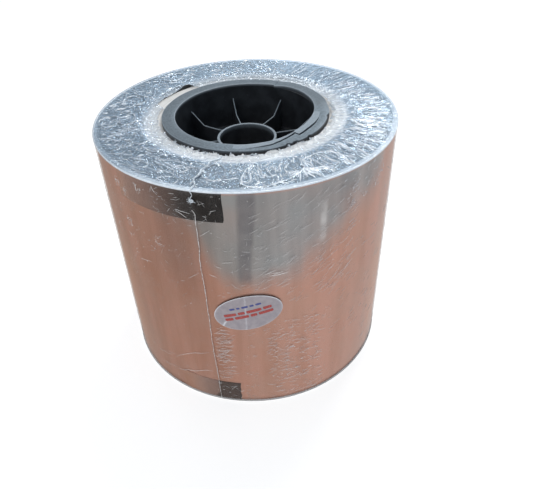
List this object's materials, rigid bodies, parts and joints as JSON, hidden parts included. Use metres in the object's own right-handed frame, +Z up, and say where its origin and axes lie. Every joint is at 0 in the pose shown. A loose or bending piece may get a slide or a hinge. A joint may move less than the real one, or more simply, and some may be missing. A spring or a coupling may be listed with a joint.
{
  "type": "copper foil tape roll",
  "caption": "Wide roll of copper foil tape wound on a cardboard core, sleeved in clear film, with a flanged black plastic plug pushed into each end of the core.",
  "frame": {"origin": "centre of the face that the roll stands on, on the roll's axis", "axes": "+Z up the roll's axis, towards the plug with the split flange; -Y towards the label and, left of it, the film's weld"},
  "size_m": [0.152, 0.1521, 0.1384],
  "materials": {
    "core_board": "matte",
    "copper_foil": "satin",
    "masking_tape": "matte",
    "black_tape": "satin",
    "clear_film": "gloss",
    "label_face": "satin",
    "black_plastic": "matte"
  },
  "bodies": {
    "lower_plug": {"bottom_plug": "black_plastic"},
    "roll": {"core_tube": "core_board", "foil_pack": "copper_foil", "start_tape": "masking_tape", "tail_tape_top": "black_tape", "tail_tape_bottom": "black_tape", "wrap_film": "clear_film", "oval_label": "label_face"},
    "upper_plug": {"top_plug": "black_plastic"}
  },
  "joints": [
    {"name": "roll_lift", "type": "slide", "parent": "lower_plug", "child": "roll", "axis": [0, 0, 1], "range_m": [0, 0.035]},
    {"name": "top_plug_pull", "type": "slide", "parent": "roll", "child": "upper_plug", "axis": [0, 0, 1], "range_m": [0, 0.035]}
  ]
}
